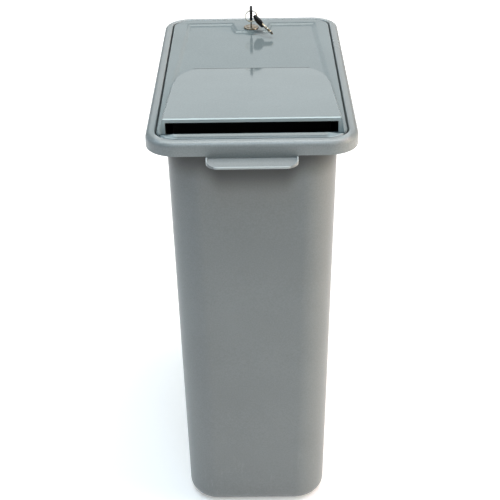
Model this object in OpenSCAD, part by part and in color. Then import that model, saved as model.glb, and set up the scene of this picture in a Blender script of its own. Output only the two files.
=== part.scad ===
// Locking paper console: a slim moulded container with a lid frame, a hooded lid that
// tips up on two hinge pins at the front, and a cam lock with two keys at the back.
// Millimetres. +Z is up, the slot end faces -Y, and the origin is the middle of the base.

/* [Rim] */
// Length of the rim, front to back
rim_l = 508; // [440:1:600]
// Width of the rim, side to side
rim_w = 279.4; // [250:0.1:330]
// Height of the rim's top face above the floor
rim_z = 630; // [420:1:800]
// Corner radius of the rim in plan
rim_r = 42; // [34:0.5:56]
// Width of the flat band between the outer face and the recess
band_w = 12.7; // [11:0.1:15]
// Height of the skirt that hangs over the container
skirt_h = 19.4; // [19:0.1:24]
// Radius of the rim's outer top edge
edge_r = 7.4; // [4:0.1:7.6]
// Radius of the rim's inner top edge
lip_r = 2; // [1:0.1:3]
// Depth of the recess that the lid sits in
seat_d = 15; // [14:0.1:17]
// Wall of the lid frame
frame_t = 2.8; // [2:0.1:3.2]

/* [Container] */
// Wall of the container
wall = 2.8; // [2:0.1:4]
// How far the body's outer face lies inside the rim's, at the mouth
mouth_in = 25.2; // [22:0.1:30]
// How far each side draws in from the mouth to the floor
draft_in = 10.4; // [4:0.1:16]
// Corner radius of the body
body_r = 46; // [36:0.5:56]
// Radius of the edge round the base
foot_r = 18.4; // [8:0.2:24]
// Thickness of the upright lip that stands inside the frame's skirt
lip_t = 2.5; // [2:0.1:3]
// Height of that lip above the shoulder
lip_h = 11; // [6:0.5:13]
// Gap between the moulded frame and the container
mould_gap = 0.3; // [0.2:0.05:0.5]

/* [Handles] */
// Width of each end handle
handle_w = 119; // [90:1:150]
// How far a handle stands out past the rim
handle_out = 23; // [16:0.5:30]
// How far the apron over a handle reaches below the skirt
handle_drop = 6.4; // [4:0.1:10]
// Thickness of the handle's shelf
handle_t = 3; // [2.5:0.1:5]
// Corner radius of the shelf
handle_r = 13; // [8:0.5:16]
// Height of the lip round the shelf
handle_lip_h = 2.6; // [1.5:0.1:4]
// Thickness of the lip round the shelf
handle_lip_t = 2.2; // [1.5:0.1:3]

/* [Lid] */
// Gap between the lid and the rim, all round
lid_gap = 2; // [1.8:0.1:3]
// Wall of the lid
lid_t = 2.5; // [2:0.1:2.6]
// Radius of the lid's outer top edge
lid_edge_r = 2.5; // [2:0.1:3]
// Wall of the flange under the lid's edge
flange_t = 2.5; // [2:0.1:3]
// Gap between the closed lid's flange and the frame's ledge
seat_gap = 0.3; // [0.2:0.05:0.6]
// Depth of the dished part behind the hood
dish_d = 3.5; // [2:0.1:5]
// Run of the dish's sloped step in plan
dish_step = 3; // [1:0.1:5]
// Border behind the dish
border_back = 17.3; // [12:0.1:24]
// Border beside the dish at its back corners
border_side = 22; // [14:0.1:28]
// Border beside the hood at its front corners
border_front = 4; // [3.4:0.1:7]
// Length of the raised lock boss, forward from the dish's back edge
boss_l = 36.5; // [34:0.1:44]
// Width of the lock boss at its front
boss_front_w = 46; // [42:0.5:56]
// Width of the lock boss at its back
boss_back_w = 60; // [56:0.5:80]

/* [Hood] */
// Strip of flat lid in front of the slot
slot_strip = 11.4; // [10.5:0.1:14]
// Height of the hood above the lid at the slot
hood_h = 22; // [20:0.1:30]
// Length of the hood, from the slot to the crease
hood_l = 251; // [200:1:280]
// Inward run of the hood's side walls at the front
hood_side_run = 5; // [2:0.1:8]
// Width taken up by each of the hood's rounded back corners
hood_corner_w = 36; // [20:1:50]
// Length taken up by each of the hood's rounded back corners
hood_corner_l = 95; // [60:1:110]
// Height of the slot
slot_h = 16; // [10:0.1:17]
// Hood wall left at each end of the slot
slot_end = 4; // [3:0.1:8]

/* [Paper guard] */
// Thickness of the guard sheet behind the slot
guard_t = 1.6; // [1:0.1:2.5]
// Distance from the slot's face back to the guard
guard_back = 38; // [30:0.5:60]
// How far the guard hangs below the lid
guard_drop = 48; // [30:1:80]
// Height of the guard's top flange above the lid
guard_top = 6; // [3:0.1:8]
// Depth of the guard's top flange
guard_flange = 24; // [18:0.5:30]
// Forward kick of the guard's lower edge
guard_kick = 9; // [4:0.5:12]
// Gap from the guard's ends to the container's walls
guard_end = 7; // [5:0.5:12]
// Diameter of the guard's screws
guard_screw_d = 3; // [2.5:0.1:3.5]
// Distance from the guard's end in to its first screw
guard_screw_in = 20; // [14:1:26]

/* [Hinge] */
// Distance from the lid's front edge back to the hinge axis
hinge_back = 7.4; // [7:0.1:7.8]
// Distance from the lid's top down to the hinge axis
hinge_drop = 2.8; // [2.8:0.1:3.2]
// Diameter of the hinge pins
pin_d = 2.5; // [2:0.1:2.6]
// Radial clearance of everything that turns on a pin or in a bore
run_clear = 0.05; // [0.02:0.01:0.1]
// Plastic round a pin in its knuckle
knuckle_wall = 1.4; // [1:0.1:1.4]
// Width of each of the lid's knuckles
knuckle_w = 18; // [10:0.5:30]
// Distance from the lid's rounded corner in to a knuckle
knuckle_in = 2.6; // [2:0.1:8]
// Length of the bearing behind the frame's corner wall
bearing_l = 3.5; // [2:0.1:4]

/* [Lock] */
// Distance from the lid's back edge forward to the lock
lock_in = 40.8; // [38:0.1:44]
// Diameter of the threaded lock body
lock_d = 19; // [16:0.5:20]
// Diameter of the lock's face
face_d = 24; // [22:0.5:26]
// Thickness of the lock's face
face_t = 2; // [1.5:0.1:3]
// Diameter of the lock's plug
plug_d = 12.8; // [11:0.1:13]
// Width across the flats of the lock's nut
nut_af = 24; // [23:0.5:26]
// Thickness of the lock's nut
nut_t = 4; // [3:0.1:5]
// Thickness of the washer above the nut
washer_t = 1; // [0.8:0.1:1.5]
// Thickness of the cam
cam_t = 2.5; // [2:0.1:3]
// Width of the cam
cam_w = 12; // [10:0.5:14]
// Gap from the cam's tip to the container's back wall
cam_end = 1.3; // [1:0.1:3]
// Gap between the cam and the keeper above it
cam_gap = 1; // [0.6:0.1:2]
// Number of wafers in the plug
wafers = 5; // [3:1:5]
// Width of the keeper
keeper_w = 40; // [36:1:60]
// Thickness of the keeper
keeper_t = 2; // [1.5:0.1:2.5]
// How far the keeper reaches forward past the ledge
keeper_out = 11.8; // [8:0.1:12]

/* [Keys] */
// Thickness of a key's blade
blade_t = 2; // [1.6:0.1:2.2]
// Width of a key's blade
blade_w = 7.6; // [6:0.1:8]
// Length of a key from end to end
key_l = 50; // [46:0.5:52]
// Length of a key's moulded head
head_l = 23; // [20:0.5:26]
// Width of a key's moulded head
head_w = 19; // [16:0.5:22]
// Thickness of a key's moulded head
head_t = 4.4; // [3.6:0.1:5]
// Gap between the lock's face and the head of the key in it
key_gap = 10.2; // [8:0.1:12]
// Diameter of the hole in a key's head
key_hole_d = 6; // [5.8:0.1:7]
// Distance from a head's end to the middle of its hole
key_hole_in = 5.5; // [5:0.1:7]
// Diameter of the split ring at the middle of its wire
ring_d = 18.4; // [17.5:0.1:20]
// Diameter of the ring's wire
wire_d = 1.6; // [1.2:0.1:1.6]
// How far the ring dips below level, toward the front, in degrees
ring_dip = 50; // [48:0.5:52]
// Where the spare key hangs on the ring, round from the key in the lock, in degrees
spare_at = 120; // [119:1:121]
// How steeply the spare key points down, in degrees
spare_down = 17; // [16:0.5:17.5]
// Compass turn of the spare key, in degrees from straight right
spare_turn = -54; // [-55:0.5:-53]
// Roll of the spare key about its own length, in degrees
spare_roll = 60; // [58:0.5:62]

/* [Fasteners] */
// Diameter of the screws that hold the frame down
frame_screw_d = 3.5; // [3:0.1:4]
// Length of those screws
frame_screw_l = 7.5; // [6:0.5:12]
// Number of those screws along each side
frame_screws_side = 3; // [2:1:5]
// Distance from the rim's end in to the first of those screws
frame_screw_in = 104; // [90:1:130]
// Diameter of the rivets
rivet_d = 3.2; // [2.5:0.1:3.5]
// Height of a rivet's head
rivet_head_h = 0.8; // [0.6:0.1:1]

/* [Hidden] */
$fn = 48;

plastic = [0.50, 0.53, 0.54];
lid_plastic = [0.63, 0.67, 0.68];
black = [0.06, 0.06, 0.07];
steel = [0.70, 0.71, 0.72];
nickel = [0.78, 0.74, 0.68];

eps = 0.01;
corner_steps = 10;                       // facets in each rounded corner of the body
foot_steps = 6;                          // facets in the edge round the base

// Levels
shoulder_z = rim_z - seat_d - frame_t - mould_gap;
ledge_z = rim_z - seat_d;
panel_z = rim_z - lid_t;
dish_z = rim_z - dish_d;
dish_under_z = dish_z - lid_t;
hinge_z = rim_z - hinge_drop;
shelf_z = rim_z - skirt_h - handle_drop - mould_gap;

// The body
mouth_w = rim_w - 2 * mouth_in;
mouth_l = rim_l - 2 * mouth_in;
inner_w = mouth_w - 2 * wall;
inner_l = mouth_l - 2 * wall;
skirt_clear = 0.5;                       // air between the skirt and the upright lip
lip_in = frame_t + skirt_clear;

// The lid
lid_w = rim_w - 2 * (band_w + lid_gap);
lid_l = rim_l - 2 * (band_w + lid_gap);
lid_r = rim_r - band_w - lid_gap;
lid_front = -lid_l / 2;
hinge_y = lid_front + hinge_back;
face_y = lid_front + slot_strip;
crease_y = face_y + hood_l;
dish_back = lid_l / 2 - border_back;
foot_front = lid_w / 2 - border_front;
foot_back = lid_w / 2 - border_side;
hood_top_front = foot_front - hood_side_run;
slot_half = hood_top_front - slot_end;
slope = (hood_h + dish_d) / hood_l;
side_flange_h = seat_d - seat_gap;
flange_start = hinge_y + pin_d / 2 + 1;

// The hinge. Each pin is pressed into a knuckle of the lid and turns in the frame's corner
// wall, whose inner face is an arc of recess_r in plan.
pin_r = pin_d / 2;
bore_r = pin_r + run_clear;
knuckle_r = pin_r + knuckle_wall;
recess_r = rim_r - band_w;
corner_x = rim_w / 2 - rim_r;
corner_y = rim_r - rim_l / 2;
hinge_ahead = corner_y - hinge_y;        // axis in front of the corner arcs' centres
knuckle_end = x_on_arc(lid_r, hinge_ahead + knuckle_r) - knuckle_in;
bearing_start = x_on_arc(recess_r, hinge_ahead - knuckle_r) + 0.3;
bearing_end = bearing_start + bearing_l;
pin_start = knuckle_end - knuckle_w;
pin_end = bearing_end + 0.5;
pin_bevel = 0.4;

// The lock
lock_y = lid_l / 2 - lock_in;
plug_r = plug_d / 2;
barrel_r = plug_r + run_clear;
lock_top = rim_z + face_t;
cam_top = ledge_z - cam_gap;
body_bottom = cam_top + 0.3;
plug_bottom = cam_top - cam_t + 0.2;
square_w = 6;                            // square on the plug that turns the cam
square_gap = 0.05;
cam_l = inner_l / 2 - cam_end - lock_y;
plug_head_r = plug_r + 1;
plug_head_t = 1.3;
wafer_t = 1;
wafer_pitch = 2.5;
wafer_first = 4.4;                       // first wafer below the lock's top
keyway_gap = 0.2;
washer_bottom = dish_under_z - washer_t;
cam_washer_t = 0.8;
cam_screw_d = 4;

// The keys
head_z = lock_top + key_gap;
key_top = head_z + head_l;
hole_z = key_top - key_hole_in;
key_tip = key_top - key_l;
blade_in_head = 9;                       // blade buried in the moulded head
ring_r = ring_d / 2;
wire_r = wire_d / 2;
ring_hang = 1.6;                         // wire below the middle of the key's hole
dip_y = -cos(ring_dip);
dip_z = -sin(ring_dip);
ring_y = lock_y + (ring_hang + ring_r) * dip_y;
ring_z = hole_z + (ring_hang + ring_r) * dip_z;
spare_hang = 0.8;                        // wire above the middle of the spare key's hole
spare_dir = [cos(spare_turn) * cos(spare_down), sin(spare_turn) * cos(spare_down),
    -sin(spare_down)];
spare_pos = [ring_r * sin(spare_at), ring_y - ring_r * cos(spare_at) * dip_y,
    ring_z - ring_r * cos(spare_at) * dip_z] + spare_hang * spare_dir;

// The guard
guard_y = face_y + guard_back;
guard_w = inner_w - 2 * guard_end;
guard_screw_x = [-guard_w / 2 + guard_screw_in, -guard_w / 6, guard_w / 6,
    guard_w / 2 - guard_screw_in];
guard_screw_y = guard_y + guard_flange / 2;

// Keeper and frame fasteners
keeper_y = inner_l / 2;
keeper_back = lid_l / 2 - flange_t - 1;
rivet_tail_r = 0.8 * rivet_d;            // the set end of a rivet, below the shoulder
keeper_rivet_y = mouth_l / 2 + rivet_tail_r + 0.4;
keeper_rivet_x = keeper_w / 2 - 6;
side_ledge_x = (rim_w / 2 - band_w - lid_gap - flange_t + inner_w / 2) / 2;
side_screw_span = rim_l / 2 - frame_screw_in;

echo(mouth = [mouth_w, mouth_l], lid = [lid_w, lid_l], slot = [2 * slot_half, slot_h]);
echo(hinge = [hinge_y, hinge_z], knuckle_end = knuckle_end, bearing = bearing_start);
echo(lock = lock_y, ring = [ring_y, ring_z], spare = spare_pos);
echo(ring_pin = [lock_y + ring_hang * dip_y, hole_z + ring_hang * dip_z]);

// ---- Shared shapes ----

// A rounded rectangle w by l, middle on the origin
module plate(w, l, r) {
    square([w - 2 * r, l], center = true);
    square([w, l - 2 * r], center = true);
    for (x = [-1, 1], y = [-1, 1]) translate([x * (w / 2 - r), y * (l / 2 - r)]) circle(r);
}

// Carries the profile in children() round a rounded rectangle. The profile lies at
// negative x, counted inward from the rectangle's edge, and its y is the height.
module carry_round(w, l, r) {
    for (k = [0 : 3]) {
        along_x = k % 2 == 1;
        half = (along_x ? l : w) / 2;
        run = (along_x ? w : l) - 2 * r;
        side = (along_x ? w : l) / 2;
        rotate([0, 0, 90 * k]) {
            translate([half, 0, 0]) rotate([90, 0, 0])
                linear_extrude(run, center = true) children();
            translate([half - r, side - r, 0]) rotate_extrude(angle = 90)
                translate([r, 0]) children();
        }
    }
}

// Points on an arc
function arc(cx, cy, r, from, to, steps = 6) =
    [for (i = [0 : steps]) let (a = from + (to - from) * i / steps)
        [cx + r * cos(a), cy + r * sin(a)]];

// A ring of points round a rounded rectangle at height z
function round_ring(w, l, r, z) =
    [for (k = [0 : 3], i = [0 : corner_steps])
        let (a = 90 * k + 90 * i / corner_steps,
            sx = (k == 0 || k == 3) ? 1 : -1, sy = k < 2 ? 1 : -1)
        [sx * (w / 2 - r) + r * cos(a), sy * (l / 2 - r) + r * sin(a), z]];

// A closed solid through a list of rings that have the same number of points
module loft(rings) {
    n = len(rings[0]);
    points = [for (ring = rings, p = ring) p];
    sides = [for (j = [0 : len(rings) - 2], i = [0 : n - 1]) let (i2 = (i + 1) % n)
        [j * n + i, j * n + i2, (j + 1) * n + i2, (j + 1) * n + i]];
    bottom = [for (i = [n - 1 : -1 : 0]) i];
    top = [for (i = [0 : n - 1]) (len(rings) - 1) * n + i];
    polyhedron(points, [bottom, top, for (s = sides) [s[3], s[2], s[1], s[0]]]);
}

// The body's solid shape, inset all round, from height z0 up to the shoulder
module body_solid(inset, z0) {
    r = foot_r - inset;
    function width_at(z, w) = w - 2 * draft_in * (1 - z / shoulder_z) - 2 * inset;
    foot = [for (i = [0 : foot_steps]) let (a = 90 * i / foot_steps,
            cut = r * (1 - sin(a)), z = z0 + r * (1 - cos(a)))
        round_ring(width_at(z, mouth_w) - 2 * cut, width_at(z, mouth_l) - 2 * cut,
            body_r - inset - cut, z)];
    top = shoulder_z + (inset > 0 ? 1 : 0);
    loft([each foot, round_ring(width_at(top, mouth_w), width_at(top, mouth_l),
        body_r - inset, top)]);
}

// A dome-headed rivet or screw, head standing on z = 0
module headed(d, l, head_d, head_h) {
    cylinder(h = head_h, d = head_d);
    translate([0, 0, -l]) cylinder(h = l + eps, d = d);
}

// Puts children at both ends of the container
module both_ends() {
    children();
    mirror([0, 1, 0]) children();
}

// Where an arc of radius r about a rim corner's centre is, y_off in front of that centre
function x_on_arc(r, y_off) = corner_x + sqrt(r * r - y_off * y_off);

// A round bar on the hinge axis, on one side, from one distance out to another
module hinge_bar(side, from, to, r) {
    translate([side * from, hinge_y, hinge_z]) rotate([0, 90 * side, 0])
        cylinder(h = to - from, r = r);
}

module on_lock() {
    translate([0, lock_y, 0]) children();
}

module frame_screw_places() {
    for (x = [-1, 1], i = [0 : frame_screws_side - 1])
        translate([x * side_ledge_x,
            side_screw_span * (2 * i / (frame_screws_side - 1) - 1), 0]) children();
}

module keeper_rivet_places() {
    for (x = [-1, 1]) translate([x * keeper_rivet_x, keeper_rivet_y, 0]) children();
}

// ---- Container ----

module handle_plan(inset) {
    w = handle_w / 2 - inset;
    out = rim_l / 2 + handle_out - inset;
    r = handle_r - inset;
    root = rim_l / 2 - lip_in - wall;
    translate([-w, -out + r]) square([2 * w, out - r - root]);
    translate([-w + r, -out]) square([2 * (w - r), r + eps]);
    for (x = [-1, 1]) translate([x * (w - r), -out + r]) circle(r);
}

module handle() {
    translate([0, 0, shelf_z - handle_t]) linear_extrude(handle_t) handle_plan(0);
    // Lip round the shelf's outer edge, clear of the apron
    translate([0, 0, shelf_z - eps]) linear_extrude(handle_lip_h) difference() {
        handle_plan(0);
        handle_plan(handle_lip_t);
        translate([-handle_w, -rim_l / 2 - mould_gap]) square([2 * handle_w, rim_l / 4]);
    }
    // Drop wall that joins the shelf to the shoulder
    translate([-handle_w / 2, -rim_l / 2 + lip_in, shelf_z - eps])
        cube([handle_w, wall, shoulder_z - shelf_z]);
}

module container() {
    color(plastic) difference() {
        union() {
            difference() {
                body_solid(0, 0);
                body_solid(wall, wall);
            }
            translate([0, 0, shoulder_z - wall]) linear_extrude(wall) difference() {
                plate(rim_w - 2 * lip_in, rim_l - 2 * lip_in, rim_r - lip_in);
                plate(mouth_w - wall, mouth_l - wall, body_r - wall / 2);
            }
            translate([0, 0, shoulder_z - eps]) linear_extrude(lip_h) difference() {
                plate(rim_w - 2 * lip_in, rim_l - 2 * lip_in, rim_r - lip_in);
                plate(rim_w - 2 * (lip_in + lip_t), rim_l - 2 * (lip_in + lip_t),
                    rim_r - lip_in - lip_t);
            }
            both_ends() handle();
        }
        translate([0, 0, shoulder_z]) {
            frame_screw_places() cylinder(h = 3 * wall, d = frame_screw_d, center = true);
            keeper_rivet_places() cylinder(h = 3 * wall, d = rivet_d, center = true);
        }
    }
}

// ---- Lid frame ----

module frame_profile() {
    polygon([[0, -skirt_h],
        each arc(-edge_r, -edge_r, edge_r, 0, 90),
        each arc(-band_w + lip_r, -lip_r, lip_r, 90, 180),
        [-band_w, -seat_d - frame_t], [-band_w + frame_t, -seat_d - frame_t],
        [-band_w + frame_t, -frame_t],
        each arc(-edge_r, -edge_r, edge_r - frame_t, 90, 0),
        [-frame_t, -skirt_h]]);
}

module lid_frame() {
    color(plastic) difference() {
        union() {
            translate([0, 0, rim_z]) carry_round(rim_w, rim_l, rim_r) frame_profile();
            // Ledge at the bottom of the recess
            ledge_in = 2 * (band_w - frame_t / 2);
            translate([0, 0, ledge_z - frame_t]) linear_extrude(frame_t) difference() {
                plate(rim_w - ledge_in, rim_l - ledge_in, rim_r - ledge_in / 2);
                plate(inner_w, inner_l, body_r - wall);
            }
            // Aprons over the handles
            both_ends() translate([-handle_w / 2, -rim_l / 2,
                    rim_z - skirt_h - handle_drop])
                cube([handle_w, frame_t, handle_drop + eps]);
            for (side = [-1, 1]) hinge_bar(side, bearing_start, bearing_end, knuckle_r);
        }
        for (side = [-1, 1]) hinge_bar(side, knuckle_end, pin_end + 0.3, bore_r);
        translate([0, 0, ledge_z]) {
            frame_screw_places()
                cylinder(h = 3 * frame_t, d = frame_screw_d, center = true);
            keeper_rivet_places() cylinder(h = 3 * frame_t, d = rivet_d, center = true);
        }
    }
}

module frame_screws() {
    color(steel) translate([0, 0, ledge_z]) frame_screw_places()
        headed(frame_screw_d, frame_screw_l, 2 * frame_screw_d, 0.6 * frame_screw_d);
}

// ---- Lid ----

function foot_x(y) =
    foot_front + (foot_back - foot_front) * (y - face_y) / (dish_back - face_y);
function hood_z(y) = dish_z + (crease_y - y) * slope;

// Half of the hood's plan outline, right side, from the slot round to the crease.
// Each point has its outward direction. The shell inset moves the outline inward.
function hood_half(inset) = let (
        back = inset > 0 ? crease_y - 10 * inset : crease_y,
        centre_y = crease_y - hood_corner_l,
        side_x = foot_x(centre_y) - 0.2 * (hood_z(centre_y) - dish_z) - inset,
        centre_x = side_x - hood_corner_w)
    [[hood_top_front - inset, face_y + inset, 1, 0],
        for (i = [0 : 12]) let (a = 90 * i / 12)
        [centre_x + hood_corner_w * cos(a), centre_y + (back - centre_y) * sin(a),
            cos(a), sin(a)]];

function mirror_half(half) = [for (p = half) p,
    for (i = [len(half) - 1 : -1 : 0]) let (p = half[i]) [-p[0], p[1], -p[2], p[3]]];

// The hood's solid: a wedge with sloped sides. The bottom ring is the top ring moved
// outward by the side walls' slope.
module hood_solid(inset, drop, z0) {
    lean = hood_side_run / (hood_h + dish_d + lid_t);
    ring = mirror_half(hood_half(inset));
    top = [for (p = ring) [p[0], p[1], hood_z(p[1]) - drop]];
    low = [for (i = [0 : len(ring) - 1]) let (p = ring[i], s = lean * (top[i][2] - z0))
        [p[0] + s * p[2], p[1] + s * p[3], z0]];
    loft([low, top]);
}

function trapezoid(front_w, back_w, front, back, z) =
    [[front_w / 2, front, z], [back_w / 2, back, z], [-back_w / 2, back, z],
        [-front_w / 2, front, z]];

module lid_edge_profile(flange_h) {
    polygon([[0, -flange_h], each arc(-lid_edge_r, -lid_edge_r, lid_edge_r, 0, 90),
        [-2 * lid_edge_r, 0], [-2 * lid_edge_r, -lid_t], [-flange_t, -lid_t],
        [-flange_t, -flange_h]]);
}

module lid_panel() {
    inset = 4;                           // the plate laps onto the swept edge
    difference() {
        translate([0, 0, rim_z])
            carry_round(lid_w, lid_l, lid_r) lid_edge_profile(side_flange_h);
        // The flange stops behind the hinge, so that the lid's front edge can swing down
        translate([-lid_w, -lid_l, panel_z - side_flange_h])
            cube([2 * lid_w, flange_start + lid_l, side_flange_h]);
    }
    translate([0, 0, panel_z]) linear_extrude(lid_t)
        plate(lid_w - 2 * inset, lid_l - 2 * inset, lid_r - inset);
}

module lid() {
    boss_front = dish_back - boss_l;
    color(lid_plastic) difference() {
        union() {
            difference() {
                lid_panel();
                loft([trapezoid(2 * (foot_front - dish_step), 2 * (foot_back - dish_step),
                        face_y, dish_back - dish_step, dish_z),
                    trapezoid(2 * foot_front, 2 * foot_back, face_y, dish_back,
                        rim_z + eps)]);
            }
            translate([0, 0, dish_under_z]) linear_extrude(lid_t)
                polygon([[foot_front, face_y], [foot_back, dish_back],
                    [-foot_back, dish_back], [-foot_front, face_y]]);
            loft([trapezoid(boss_front_w + 2 * dish_step, boss_back_w + 2 * dish_step,
                    boss_front - dish_step, dish_back + eps, dish_z - eps),
                trapezoid(boss_front_w, boss_back_w, boss_front, dish_back + eps, rim_z)]);
            hood_solid(0, 0, dish_under_z);
            // Knuckles under the strip in front of the slot
            for (side = [-1, 1]) hinge_bar(side, pin_start, knuckle_end, knuckle_r);
            // Bosses that the guard's flange is screwed up to
            for (x = guard_screw_x) translate([x, guard_screw_y, rim_z + guard_top])
                cylinder(h = hood_z(guard_screw_y) - rim_z - guard_top - 1, r = 4);
        }
        difference() {
            hood_solid(lid_t, lid_t, dish_under_z - 1);
            for (x = guard_screw_x) translate([x, guard_screw_y, rim_z + guard_top])
                cylinder(h = hood_h, r = 4);
        }
        translate([-slot_half, face_y - 1, rim_z])
            cube([2 * slot_half, lid_t + 2, slot_h]);
        on_lock() translate([0, 0, rim_z]) cylinder(h = 4 * lid_t + 2 * dish_d,
            d = lock_d + 2 * run_clear, center = true);
        // The pins' bores, which run on as grooves under the panel
        for (side = [-1, 1]) hinge_bar(side, pin_start - 1, lid_w / 2, pin_r);
        for (x = guard_screw_x) translate([x, guard_screw_y, rim_z + guard_top - eps])
            cylinder(h = 2 * guard_screw_d, d = guard_screw_d);
    }
}

// ---- Paper guard ----

module paper_guard() {
    top = rim_z + guard_top;
    low = rim_z - guard_drop;
    color(black) difference() {
        translate([guard_w / 2, 0, 0]) rotate([0, -90, 0]) linear_extrude(guard_w)
            polygon([[top, guard_y], [top, guard_y + guard_flange],
                [top - guard_t, guard_y + guard_flange], [top - guard_t, guard_y + guard_t],
                [low, guard_y + guard_t], [low - guard_kick, guard_y + guard_t - guard_kick],
                [low - guard_kick, guard_y - guard_kick], [low, guard_y]]);
        for (x = guard_screw_x) translate([x, guard_screw_y, top])
            cylinder(h = 4 * guard_t, d = guard_screw_d, center = true);
    }
}

module guard_screws() {
    color(steel) for (x = guard_screw_x)
        translate([x, guard_screw_y, rim_z + guard_top - guard_t]) mirror([0, 0, 1])
            headed(guard_screw_d, guard_t + 1.8 * guard_screw_d, 2 * guard_screw_d,
                0.6 * guard_screw_d);
}

// ---- Hinge ----

module hinge_pin(side) {
    color(steel) {
        hinge_bar(side, pin_start + pin_bevel, pin_end - pin_bevel, pin_r);
        for (end = [[pin_start, -1], [pin_end, 1]])
            translate([side * end[0], hinge_y, hinge_z]) rotate([0, -90 * side * end[1], 0])
                cylinder(h = pin_bevel + eps, r1 = pin_r - pin_bevel, r2 = pin_r);
    }
}

module hinge_pin_left() {
    hinge_pin(-1);
}

module hinge_pin_right() {
    hinge_pin(1);
}

// ---- Lock ----

module lock_body() {
    color(nickel) on_lock() difference() {
        union() {
            translate([0, 0, rim_z]) cylinder(h = face_t, d = face_d);
            translate([0, 0, body_bottom])
                cylinder(h = rim_z - body_bottom + eps, d = lock_d);
        }
        translate([0, 0, body_bottom - 1])
            cylinder(h = lock_top - body_bottom + 2, r = barrel_r);
        translate([0, 0, lock_top - plug_head_t]) cylinder(h = face_t,
            r = plug_head_r + run_clear);
    }
}

module lock_washer() {
    color(steel) on_lock() translate([0, 0, washer_bottom]) difference() {
        cylinder(h = washer_t, d = nut_af + 2);
        translate([0, 0, -1]) cylinder(h = washer_t + 2, d = lock_d + 2 * run_clear);
    }
}

module lock_nut() {
    color(steel) on_lock() translate([0, 0, washer_bottom - nut_t]) difference() {
        cylinder(h = nut_t, d = nut_af / cos(30), $fn = 6);
        translate([0, 0, -1]) cylinder(h = nut_t + 2, d = lock_d + 2 * run_clear);
    }
}

module wafer_places() {
    for (i = [0 : wafers - 1])
        translate([0, 0, lock_top - wafer_first - i * wafer_pitch]) children();
}

module lock_plug() {
    keyway_floor = key_tip - 0.5;
    wafer_slot_w = blade_t + 4.4;
    color(nickel) on_lock() difference() {
        union() {
            translate([0, 0, cam_top]) cylinder(h = lock_top - cam_top, r = plug_r);
            translate([0, 0, lock_top - plug_head_t + 0.1])
                cylinder(h = plug_head_t, r = plug_head_r);
            translate([-square_w / 2, -square_w / 2, plug_bottom])
                cube([square_w, square_w, cam_top - plug_bottom + eps]);
        }
        translate([-blade_t / 2 - keyway_gap, -blade_w / 2 - keyway_gap, keyway_floor])
            cube([blade_t + 2 * keyway_gap, blade_w + 2 * keyway_gap,
                lock_top - keyway_floor + 1]);
        wafer_places() translate([-wafer_slot_w / 2, -plug_r - 1, -0.1])
            cube([wafer_slot_w, plug_d + 2, wafer_t + 0.2]);
        translate([0, 0, plug_bottom - 1])
            cylinder(h = cam_top - plug_bottom + 3, d = cam_screw_d);
    }
}

// Flat plates that the key's blade passes through
module lock_wafers() {
    color(nickel) on_lock() wafer_places() linear_extrude(wafer_t) difference() {
        intersection() {
            circle(plug_r - 0.2);
            square([blade_t + 4, plug_d], center = true);
        }
        square([blade_t + 2 * keyway_gap, blade_w + 2 * keyway_gap], center = true);
    }
}

// At rest the cam points left. A quarter turn brings it back, under the keeper.
module lock_cam() {
    color(steel) on_lock() translate([0, 0, cam_top - cam_t]) linear_extrude(cam_t)
        difference() {
            union() {
                circle(0.75 * cam_w);
                translate([-cam_l + cam_w / 2, -cam_w / 2]) square([cam_l - cam_w / 2, cam_w]);
                translate([-cam_l + cam_w / 2, 0]) circle(cam_w / 2);
            }
            square(square_w + 2 * square_gap, center = true);
        }
}

module cam_washer() {
    color(steel) on_lock() translate([0, 0, cam_top - cam_t - cam_washer_t]) difference() {
        cylinder(h = cam_washer_t, r = 1.3 * cam_screw_d);
        translate([0, 0, -1]) cylinder(h = cam_washer_t + 2, d = cam_screw_d + 0.2);
    }
}

module cam_screw() {
    low = cam_top - cam_t - cam_washer_t;
    color(steel) on_lock() translate([0, 0, low]) difference() {
        mirror([0, 0, 1]) headed(cam_screw_d, cam_top - low + 1, 1.9 * cam_screw_d,
            0.6 * cam_screw_d);
        translate([0, 0, -0.6 * cam_screw_d - eps])
            cube([0.25 * cam_screw_d, 2 * cam_screw_d, 0.5 * cam_screw_d], center = true);
    }
}

module keeper() {
    color(steel) translate([0, 0, ledge_z]) difference() {
        translate([-keeper_w / 2, keeper_y - keeper_out, 0])
            cube([keeper_w, keeper_back - keeper_y + keeper_out, keeper_t]);
        keeper_rivet_places() cylinder(h = 3 * keeper_t, d = rivet_d, center = true);
    }
}

module keeper_rivets() {
    grip = keeper_t + frame_t + mould_gap + wall;
    color(steel) translate([0, 0, ledge_z + keeper_t]) keeper_rivet_places() {
        headed(rivet_d, grip, 1.8 * rivet_d, rivet_head_h);
        translate([0, 0, -grip]) mirror([0, 0, 1])
            cylinder(h = rivet_head_h, r = rivet_tail_r);
    }
}

// ---- Keys ----

// A key with the middle of its hole on the origin and its tip down, seen along X
module blade() {
    head_low = key_hole_in - head_l;
    tip = key_hole_in - key_l;
    point = 2.5;
    translate([-blade_t / 2, 0, 0]) rotate([90, 0, 90]) linear_extrude(blade_t)
        polygon([[-blade_w / 2, head_low + blade_in_head],
            [-blade_w / 2, tip + point], [-blade_w / 2 + point, tip],
            [blade_w / 2 - point, tip], [blade_w / 2, tip + point],
            [blade_w / 2, head_low + blade_in_head]]);
}

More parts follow.
